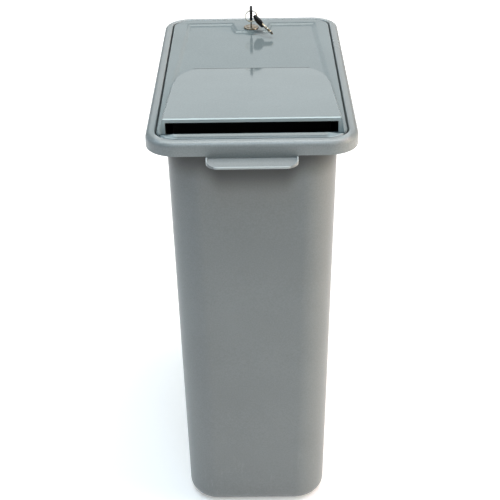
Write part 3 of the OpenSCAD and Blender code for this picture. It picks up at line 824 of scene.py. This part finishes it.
edit(bead)
for name, outline, z, radius, steps in (
    ("outer", RIM_OUTLINE, RIM.z, BEAD_R, 9),
    ("inner", shrunk(RIM_OUTLINE, BAND), RIM.z, RECESS_R, 4),
    ("hollow", shrunk(RIM_OUTLINE, FRAME_T), RIM.z - FRAME_T, HOLLOW_R, 5),
):
    print(name, pick("edges", on_outline(outline, z)), "edges")
    bpy.ops.mesh.bevel(offset=radius, segments=steps, affect="EDGES")
leave()
soften(bead, FRAME_ROUND, 2)
done(bead, "lid_frame_moulding", "frame_plastic", "bin", ["lid_frame"])

# %% [markdown]
# ## The lid panel
# The lid is one moulding: a flat border, a dished floor behind the hood, and a raised boss
# for the lock. The dish could be carved out with a boolean, but its step is soft on the real
# lid, so the plate is sliced along the dish's and the boss's outlines, and the floor is set
# down by a few small insets, each a little lower, whose heights follow an S.

# %% Dished plate
LID_LOW, LID_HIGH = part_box("lid")
LID = (LID_HIGH.x, LID_HIGH.y, 27.3 * MM)
LID_TOP, LID_STEPS = RIM.z, 10
SOFT = 1.8 * MM
DISH = ((120 * MM + SOFT, -203 * MM), (103 * MM + SOFT, 222 * MM + SOFT))
BOSS = ((23 * MM - SOFT, 185.5 * MM + SOFT), (30 * MM - SOFT, 222 * MM + SOFT))
DISH_DEPTH, DISH_RUN, S_STEPS = 3.5 * MM, 8.4 * MM, 8


def width_at(shape, y):
    """Half the width of a tapered outline at y."""
    (near_x, near_y), (far_x, far_y) = shape
    return near_x + (far_x - near_x) * (y - near_y) / (far_y - near_y)


def inside(shape, p):
    """Whether a point lies in a tapered outline."""
    return shape[0][1] < p.y < shape[1][1] and abs(p.x) < width_at(shape, p.y)


def on_floor(face):
    """Whether a face lies in the dish and not on the boss."""
    middle = face.calc_center_median()
    return inside(DISH, middle) and not inside(BOSS, middle)


panel = rounded_plate(LID, LID_TOP, LID_STEPS)
edit(panel)
slice_at((0, DISH[1][1], 0), (0, 1, 0))
for shape, part in ((DISH, lambda p: True), (BOSS, lambda p: inside(DISH, p))):
    (near_x, near_y), (far_x, far_y) = shape
    slice_at((0, near_y, 0), (0, 1, 0), part)
    for side in (-1, 1):
        slice_at(
            (side * near_x, near_y, 0),
            (side * (far_y - near_y), near_x - far_x, 0),
            lambda p: part(p) and near_y < p.y < far_y,
        )
print("floor faces", pick("faces", lambda p: True, on_floor))
for step in range(S_STEPS):
    before, after = ((3 - 2 * t) * t * t for t in (step / S_STEPS, (step + 1) / S_STEPS))
    bpy.ops.mesh.inset(thickness=DISH_RUN / S_STEPS, depth=(before - after) * DISH_DEPTH)

# %% [markdown]
# The plate's edge is turned down and rounded. A flange goes down inside the recess on three
# sides, and stops short of the front, where the hinge pins are.

# %% Border, flange and wall
FLANGE_Z, FLANGE_START = LID_LOW.z, -229.65 * MM
LID_T, EDGE_R = 2.5 * MM, 2.1 * MM

pick("edges", on_outline(LID, LID_TOP))
lift(z=-LID_T)
pick("edges", on_outline(LID, LID_TOP))
bpy.ops.mesh.bevel(offset=EDGE_R, segments=5, affect="EDGES")
slice_at((0, FLANGE_START, 0), (0, 1, 0))
print("flange", pick(
    "edges", lambda p: abs(p.z - LID_TOP + LID_T) < NEAR and p.y > FLANGE_START - NEAR
    and abs(beyond(p, *LID)) < 5 * NEAR))
lift(z=FLANGE_Z - LID_TOP + LID_T)
outward(panel)
apply(panel, "SOLIDIFY", thickness=LID_T, offset=-1, use_even_offset=True)
print("panel", len(panel.data.polygons), "faces")

# %% [markdown]
# ## The hood
# The hood is a long wedge: its top falls to the dish's floor at a crease, its sides lean,
# and its two back corners are drawn-out ellipses. An ellipse comes from a point bevel on a
# plate that is squeezed along its length first. An inset that rises gives all the sides the
# same lean, and two slices give the sloping top and the upright front. A smaller wedge of
# the same make then hollows it.

# %% Wedge
HOOD_H, LEAN = 22 * MM, 5 / 28
HOOD_HALF, HOOD_HALF_Z = 121 * MM, 624 * MM
FRONT_MORE, BACK_LESS, FRONT_RUN = 0.3 * MM, 9.65 * MM, 8 * MM
FACE_Y, DISH_Z = -227.9 * MM, LID_TOP - DISH_DEPTH
HOOD_BASE_Z, HOOD_RAISE = DISH_Z - 1.4 * MM, 29.5 * MM
SLOPE = (HOOD_H + DISH_DEPTH) / (CREASE_Y - FACE_Y)
CORNER_W, CORNER_L, FIRST_RISE = 36 * MM, 95 * MM, 0.3 * MM


def wedge(inset, drop, base_z, back_y, face_y):
    """A closed hood form with its front at face_y, moved in by inset and down by drop."""
    leave()
    bpy.ops.mesh.primitive_plane_add(size=1, location=(0, 0, base_z))
    form = bpy.context.object
    edit(form)
    front_y = FACE_Y - FRONT_RUN
    bpy.ops.transform.resize(value=(1, back_y - front_y, 1))
    bpy.ops.transform.translate(value=(0, (back_y + front_y) / 2, 0))
    low = HOOD_HALF + LEAN * (HOOD_HALF_Z - base_z) - inset
    for y, half in ((front_y, low + FRONT_MORE), (back_y, low - BACK_LESS)):
        pick("verts", lambda p: abs(p.y - y) < NEAR)
        bpy.ops.transform.resize(value=(2 * half, 1, 1), center_override=(0, 0, base_z))
    squeeze = CORNER_W / CORNER_L
    bpy.ops.mesh.select_all(action="SELECT")
    bpy.ops.transform.resize(value=(1, squeeze, 1), center_override=(0, 0, base_z))
    pick("verts", lambda p: p.y > (back_y * squeeze) - NEAR)
    bpy.ops.mesh.bevel(offset=CORNER_W, segments=16, affect="VERTICES")
    bpy.ops.mesh.select_all(action="SELECT")
    bpy.ops.transform.resize(value=(1, 1 / squeeze, 1), center_override=(0, 0, base_z))
    lift(z=FIRST_RISE)
    bpy.ops.mesh.inset(thickness=LEAN * HOOD_RAISE, depth=HOOD_RAISE)
    slice_at(
        (0, CREASE_Y, DISH_Z - drop), (0, SLOPE, 1), use_fill=True, clear_outer=True
    )
    slice_at((0, face_y, 0), (0, -1, 0), use_fill=True, clear_outer=True)
    hold(form)
    bpy.ops.object.transform_apply(location=True)
    outward(form)
    return form


print("the hood slopes", round(math.degrees(math.atan(SLOPE)), 2), "degrees")

# %% [markdown]
# The hood's face has a shallow recess round the slot. The top edge over it, the brow, is one
# flat chamfer, and the hood's other upper edges are round. The crease behind the hood is
# marked sharp, so that smooth shading doesn't run across it.

# %% Hood with its recess and brow
RECESS, RIM_T, HOOD_ROUND, BROW = 1.2 * MM, 3 * MM, 1.7 * MM, 2.2 * MM
HOOD_TOP_Z = LID_TOP + HOOD_H


def hood_top(y):
    """The height of the hood's sloping top."""
    return DISH_Z + (CREASE_Y - y) * SLOPE


hood = wedge(0, 0, HOOD_BASE_Z, CREASE_Y + 0.4 * MM, FACE_Y)
edit(hood)
print("front", pick("faces", lambda p: abs(p.y - FACE_Y) < NEAR))
bpy.ops.mesh.inset(thickness=RIM_T, depth=-RECESS)
print("hood edges", pick(
    "edges",
    lambda p: p.z > LID_TOP + 2 * MM and abs(p.z - hood_top(p.y)) < NEAR,
    lambda e: e.calc_face_angle() > 0.5 and max(v.co.y for v in e.verts) > FACE_Y + NEAR))
bpy.ops.mesh.bevel(offset=HOOD_ROUND, segments=4, affect="EDGES")
print("brow", pick(
    "edges", lambda p: abs(p.y - FACE_Y) < NEAR and p.z > HOOD_TOP_Z - 3 * MM,
    lambda e: e.calc_face_angle() > 1 and e.calc_length() > 50 * MM
    and min(v.co.z for v in e.verts) > HOOD_TOP_Z - NEAR))
bpy.ops.mesh.bevel(offset=BROW, segments=1, affect="EDGES")
leave()
carve(panel, hood, "UNION")
hollow = wedge(
    LID_T, LID_T, DISH_Z - LID_T - 1 * MM, CREASE_Y - 25 * MM, FACE_Y + RECESS + LID_T
)
carve(panel, hollow)
edit(panel)
print("crease edges", pick(
    "edges", lambda p: abs(p.y - CREASE_Y) < 5 * NEAR and abs(p.z - DISH_Z) < 5 * NEAR))
bpy.ops.mesh.mark_sharp()
leave()
print("hooded lid", len(panel.data.polygons), "faces")

# %% [markdown]
# In front of the slot the lid rises in a low sill, whose slope faces the light from above
# and so looks as bright as the flat lid. It keeps a steady distance from the lid's edge
# round the corners, which an inset of the lid's own outline gives.

# %% Sill
SILL_H, SILL_RUN, SILL_BACK_Y = 3 * MM, 5.6 * MM, -232 * MM
SILL_LOW, SILL_FOOT = 0.6 * MM, 0.3 * MM

sill = rounded_plate(shrunk(LID, EDGE_R), LID_TOP - SILL_LOW, LID_STEPS)
edit(sill)
lift(z=SILL_FOOT)
bpy.ops.mesh.inset(thickness=SILL_RUN, depth=SILL_H + SILL_LOW - SILL_FOOT)
slice_at((0, SILL_BACK_Y, 0), (0, 1, 0), use_fill=True, clear_outer=True)
leave()
outward(sill)
carve(panel, sill, "UNION")
print("lid with its sill", len(panel.data.polygons), "faces")

# %% [markdown]
# The slot is cut with a box, and its edge is rounded as a moulding's is. The lock's round
# hole goes right through the boss.

# %% Slot and lock hole
SLOT_HALF, SLOT_H, SLOT_CUT, SLOT_ROUND = 112 * MM, 16 * MM, 8 * MM, 0.5 * MM
LOCK = Vector((0, (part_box("lock_body")[0].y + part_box("lock_body")[1].y) / 2, RIM.z))
LOCK_HOLE_R, LOCK_HOLE_L = 9.6 * MM, 30 * MM

leave()
bpy.ops.mesh.primitive_cube_add(
    size=1,
    location=(0, FACE_Y + RECESS, LID_TOP + SLOT_H / 2),
    scale=(2 * SLOT_HALF, SLOT_CUT, SLOT_H),
)
carve(panel, bpy.context.object)
edit(panel)
print("slot edges", pick(
    "edges", lambda p: abs(p.y - FACE_Y - RECESS) < NEAR and abs(p.x) < SLOT_HALF + NEAR
    and LID_TOP - NEAR < p.z < LID_TOP + SLOT_H + NEAR
    and (abs(abs(p.x) - SLOT_HALF) < NEAR or abs(p.z - LID_TOP - SLOT_H) < NEAR)))
bpy.ops.mesh.bevel(offset=SLOT_ROUND, segments=3, affect="EDGES")
leave()
bpy.ops.mesh.primitive_cylinder_add(
    vertices=48, radius=LOCK_HOLE_R, depth=LOCK_HOLE_L, location=LOCK
)
carve(panel, bpy.context.object)
outward(panel)

# %% [markdown]
# Under the lid are the two knuckles that hold the hinge pins, and four studs that the guard
# is screwed to. All are round bars that run into the panel.

# %% Knuckles and studs
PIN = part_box("hinge_pin_right")
HINGE = Vector((0, (PIN[0].y + PIN[1].y) / 2, (PIN[0].z + PIN[1].z) / 2))
KNUCKLE_X, KNUCKLE_R, KNUCKLE_L, KNUCKLE_ROUND = 101.49 * MM, 2.65 * MM, 18 * MM, 0.4 * MM
STUD_XS, STUD_Y, STUD_Z = (-84.7, -34.9, 34.9, 84.7), -177.9 * MM, 641 * MM
STUD_R, STUD_L = 4 * MM, 10 * MM
ALONG_X = (0, math.pi / 2, 0)


def bar(place, radius, length, turn=(0, 0, 0), steps=24, round_off=0.0):
    """A round bar, whose rims can be rounded off."""
    leave()
    bpy.ops.mesh.primitive_cylinder_add(
        vertices=steps, radius=radius, depth=length, location=place, rotation=turn
    )
    made = bpy.context.object
    if round_off:
        edit(made)
        pick("edges", lambda p: True, lambda e: e.calc_face_angle() > 1)
        bpy.ops.mesh.bevel(offset=round_off, segments=3, affect="EDGES")
        leave()
    hold(made)
    bpy.ops.object.transform_apply(location=True, rotation=True)
    return made


parts = []
for side in (-1, 1):
    middle = Vector((side * KNUCKLE_X, HINGE.y, HINGE.z))
    parts.append(bar(middle, KNUCKLE_R, KNUCKLE_L, ALONG_X, round_off=KNUCKLE_ROUND))
for x in STUD_XS:
    parts.append(bar((x * MM, STUD_Y, STUD_Z), STUD_R, STUD_L, steps=20))
hold(panel, *parts)
bpy.ops.object.join()
done(panel, "lid_moulding", "lid_plastic", "lid", ["lid"])

# %% [markdown]
# ## The lock's body
# The lock has a bright round face, a threaded body through the lid, and a bore for the plug.
# A turned part could be spun from a profile. Starting from a cylinder is as quick here:
# insets shape the face, and repeated extrusions with a small change of width make the
# thread's ridges. Two cylinders then bore it out.

# %% Lock face and thread
LOCK_LOW, LOCK_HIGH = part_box("lock_body")
FACE_R, BODY_R, BORE_R, PLUG_HEAD_R = 12 * MM, 9.5 * MM, 6.45 * MM, 7.45 * MM
THREAD_PITCH, THREAD_DEPTH, COLLAR = 1.2 * MM, 0.5 * MM, 1 * MM
FACE_T, FACE_ROUND = LOCK_HIGH.z - LOCK.z, 0.7 * MM
LAND, LAND_SLOPE, LAND_DEPTH = 1.3 * MM, 0.5 * MM, 0.3 * MM
BORE_L, PLUG_HEAD_DEPTH = 30 * MM, 1.3 * MM

leave()
bpy.ops.mesh.primitive_cylinder_add(
    vertices=64, radius=FACE_R, depth=FACE_T, location=LOCK + Vector((0, 0, FACE_T / 2))
)
lock = bpy.context.object
hold(lock)
bpy.ops.object.transform_apply(location=True)
edit(lock)
pick("faces", lambda p: p.z > LOCK_HIGH.z - NEAR)
bpy.ops.mesh.inset(thickness=LAND)
bpy.ops.mesh.inset(thickness=LAND_SLOPE, depth=-LAND_DEPTH)
pick("edges", lambda p: p.z > LOCK_HIGH.z - NEAR
     and math.hypot(p.x, p.y - LOCK.y) > FACE_R - NEAR)
bpy.ops.mesh.bevel(offset=FACE_ROUND, segments=4, affect="EDGES")
pick("faces", lambda p: p.z < LOCK.z + NEAR)
bpy.ops.mesh.inset(thickness=FACE_R - BODY_R)
lift(z=-COLLAR)
ridges = int((LOCK.z - LOCK_LOW.z - COLLAR) / THREAD_PITCH)
for turn in range(ridges):
    for wide, narrow in ((BODY_R - THREAD_DEPTH, BODY_R), (BODY_R, BODY_R - THREAD_DEPTH)):
        lift(z=-THREAD_PITCH / 2)
        bpy.ops.transform.resize(value=(wide / narrow, wide / narrow, 1))
lift(z=LOCK_LOW.z - LOCK.z + COLLAR + ridges * THREAD_PITCH)
leave()
for radius, low in (
    (BORE_R, LOCK_LOW.z - 5 * MM),
    (PLUG_HEAD_R, LOCK_HIGH.z - PLUG_HEAD_DEPTH),
):
    carve(lock, bar(Vector((0, LOCK.y, low + BORE_L / 2)), radius, BORE_L, steps=48))
outward(lock)
done(lock, "lock_housing", "lock_nickel", "lid", ["lock_body"])

# %% [markdown]
# ## The keys
# Both keys are the same: a flat brass blade with a groove and a row of cuts on each edge,
# and a plump black head moulded over its end. One key is modelled upright with its hole at
# the origin, and two copies are then set in place: one in the lock, one hanging on the ring.

# %% Key blade
KEY_L, HEAD_L, HOLE_IN = 50 * MM, 23 * MM, 5.5 * MM
BLADE_T, BLADE_W, TIP_CUT, BLADE_ROUND = 2 * MM, 7.6 * MM, 2.5 * MM, 0.12 * MM
TIP_Z, HEAD_Z = HOLE_IN - KEY_L, HOLE_IN - HEAD_L
BLADE_TOP = HEAD_Z + 9 * MM
CUTS, CUT_START, CUT_PITCH = (0.7, 1.15, 0.45, 0.95, 0.6), 5.4, 2.9
GROOVE_HALF, GROOVE_DEPTH = 0.9 * MM, 0.4 * MM


def block(size, middle):
    """A cube stretched to a size, with its place in its mesh."""
    leave()
    bpy.ops.mesh.primitive_cube_add(size=1, location=middle, scale=size)
    made = bpy.context.object
    hold(made)
    bpy.ops.object.transform_apply(location=True, scale=True)
    return made


def through(edge):
    """Whether an edge at an end runs through the key's thickness."""
    return abs(edge.verts[0].co.y - edge.verts[1].co.y) < NEAR


blade = block((BLADE_T, BLADE_W, BLADE_TOP - TIP_Z), (0, 0, (BLADE_TOP + TIP_Z) / 2))
edit(blade)
pick("edges", lambda p: p.z < TIP_Z + NEAR, through)
bpy.ops.mesh.bevel(offset=TIP_CUT, segments=1, affect="EDGES")
for number, depth in enumerate(CUTS):
    middle = TIP_Z + (CUT_START + CUT_PITCH * number) * MM
    for off in (-1.2, -0.5, 0.5, 1.2):
        slice_at((0, 0, middle + off * MM), (0, 0, 1))
    pick("verts", lambda p: abs(p.z - middle) < 0.6 * MM and abs(p.y) > 3.7 * MM)
    narrower = 1 - depth * MM / (BLADE_W / 2)
    bpy.ops.transform.resize(value=(1, narrower, 1), center_override=(0, 0, 0))
for y in (-GROOVE_HALF, GROOVE_HALF):
    slice_at((0, y, 0), (0, 1, 0))
for side in (-1, 1):
    pick("faces", lambda p: p.x * side > BLADE_T / 2 - NEAR and abs(p.y) < GROOVE_HALF + NEAR)
    lift(x=-side * GROOVE_DEPTH)
outward(blade)
soften(blade, BLADE_ROUND, 2, limit=0.6)
print("blade", len(blade.data.polygons), "faces")

# %% [markdown]
# The head narrows to its neck and is cut off at its upper corners. Its plump sides are
# insets that rise along a quarter circle, a smaller step each time. A round hole for the
# ring goes through it.

# %% Key head
HEAD_T, HEAD_W, HEAD_ROUND, ROUND_STEPS = 4.4 * MM, 19 * MM, 1.5 * MM, 5
NECK_RISE, NECK_SHARE, TOP_CUT, OUTLINE_ROUND = 5 * MM, 0.62, 5 * MM, 1.5 * MM
PANEL_IN, PANEL_SLOPE, PANEL_DEPTH = 0.5 * MM, 0.3 * MM, 0.3 * MM
RING_HOLE_R, RIM_ROUND = 3 * MM, 0.25 * MM

head = block((HEAD_T - 2 * HEAD_ROUND, HEAD_W, HEAD_L), (0, 0, (HOLE_IN + HEAD_Z) / 2))
edit(head)
slice_at((0, 0, HEAD_Z + NECK_RISE), (0, 0, 1))
pick("verts", lambda p: p.z < HEAD_Z + NEAR)
bpy.ops.transform.resize(value=(1, NECK_SHARE, 1), center_override=(0, 0, HEAD_Z))
pick("edges", lambda p: p.z > HOLE_IN - NEAR, through)
bpy.ops.mesh.bevel(offset=TOP_CUT, segments=1, affect="EDGES")
pick("edges", lambda p: True,
     lambda e: abs(e.verts[0].co.x - e.verts[1].co.x) > 1 * MM and e.calc_face_angle() > 0.3)
bpy.ops.mesh.bevel(offset=OUTLINE_ROUND, segments=3, affect="EDGES")
bpy.ops.mesh.select_all(action="SELECT")
bpy.ops.mesh.dissolve_limited(angle_limit=0.01)
for side in (-1, 1):
    pick("faces", lambda p: p.x * side > HEAD_T / 2 - HEAD_ROUND - NEAR)
    for step in range(ROUND_STEPS):
        start, end = (math.pi / 2 * t / ROUND_STEPS for t in (step, step + 1))
        bpy.ops.mesh.inset(
            thickness=HEAD_ROUND * (math.cos(start) - math.cos(end)),
            depth=HEAD_ROUND * (math.sin(end) - math.sin(start)),
        )
    bpy.ops.mesh.inset(thickness=PANEL_IN)
    bpy.ops.mesh.inset(thickness=PANEL_SLOPE, depth=-PANEL_DEPTH)
leave()
carve(head, bar(Vector((0, 0, 0)), RING_HOLE_R, 20 * MM, ALONG_X, 32))
outward(head)
soften(head, RIM_ROUND, 2)
print("head", len(head.data.polygons), "faces")

# %% [markdown]
# One key stands upright in the lock. The other hangs on the ring, so it takes three turns:
# about its own length, then down, then aside. The print says how far the upper corner of
# each copy's box is from the solid model's, in millimetres.


# %% Both keys in place
def turned(*turns):
    """A rotation from turns about x, y and z in degrees, the last one first."""
    result = Matrix.Identity(4)
    for axis, degrees in turns:
        result = result @ Matrix.Rotation(math.radians(degrees), 4, axis)
    return result


LOCK_KEY_Z = 659.7 * MM
RING_KEY_AT = Vector((8.417, 187.982, 647.669)) * MM
IN_LOCK = Matrix.Translation((0, LOCK.y, LOCK_KEY_Z))
ON_RING = Matrix.Translation(RING_KEY_AT) @ turned(("Z", -54), ("Y", -73), ("Z", 60))
for place, body_name, key in ((IN_LOCK, "key", "key"), (ON_RING, "spare_key", "spare")):
    for model, part, slot in ((blade, "blade", "key_nickel"), (head, "head", "key_black")):
        copy = model.copy()
        copy.data = model.data.copy()
        bpy.context.scene.collection.objects.link(copy)
        copy.data.transform(place)
        done(copy, f"{key}_{part}_cut" if part == "blade" else f"{key}_{part}_moulded",
             slot, body_name, [f"{key}_{part}"])
        solid_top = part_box(f"{key}_{part}")[1]
        top = [max(v.co[i] for v in copy.data.vertices) for i in range(3)]
        print("  off the solid by", [round((a - b) / MM, 2) for a, b in zip(top, solid_top)])
for model in (blade, head):
    bpy.data.objects.remove(model)

# %% [markdown]
# ## The split ring
# The ring is flat spring wire wound twice. A torus would miss the split, so a small oval is
# wound twice round with the Screw modifier, which climbs a wire's thickness on each turn.
# Its two cut ends are then closed.

# %% Split ring
RING_R, WIRE_W, WIRE_H, WIRE_RISE = 9.2 * MM, 1.5 * MM, 0.76 * MM, 0.8 * MM
RING_DIP, RING_TURN, RING_DROP = 50, 350, 0.78 * MM
RING_AT = Matrix.Translation(Vector((0, 191.558, 651.427)) * MM) @ turned(("X", RING_DIP))

leave()
bpy.ops.mesh.primitive_circle_add(
    vertices=12, radius=1, location=(RING_R, 0, 0), rotation=(math.pi / 2, 0, 0)
)
ring = bpy.context.object
ring.scale = (WIRE_W / 2, WIRE_H / 2, 1)
hold(ring)
bpy.ops.object.transform_apply(location=True, rotation=True, scale=True)
apply(ring, "SCREW", axis="Z", angle=math.radians(RING_TURN),
      screw_offset=WIRE_RISE * RING_TURN / 360, iterations=2, steps=56, render_steps=56,
      use_merge_vertices=False)
edit(ring)
bpy.ops.mesh.select_mode(type="EDGE")
bpy.ops.mesh.select_all(action="DESELECT")
bpy.ops.mesh.select_non_manifold()
bpy.ops.mesh.edge_face_add()
outward(ring)
ring.data.transform(RING_AT @ Matrix.Translation((0, 0, -RING_DROP)))
done(ring, "split_ring", "key_nickel", "ring", ["key_ring"])
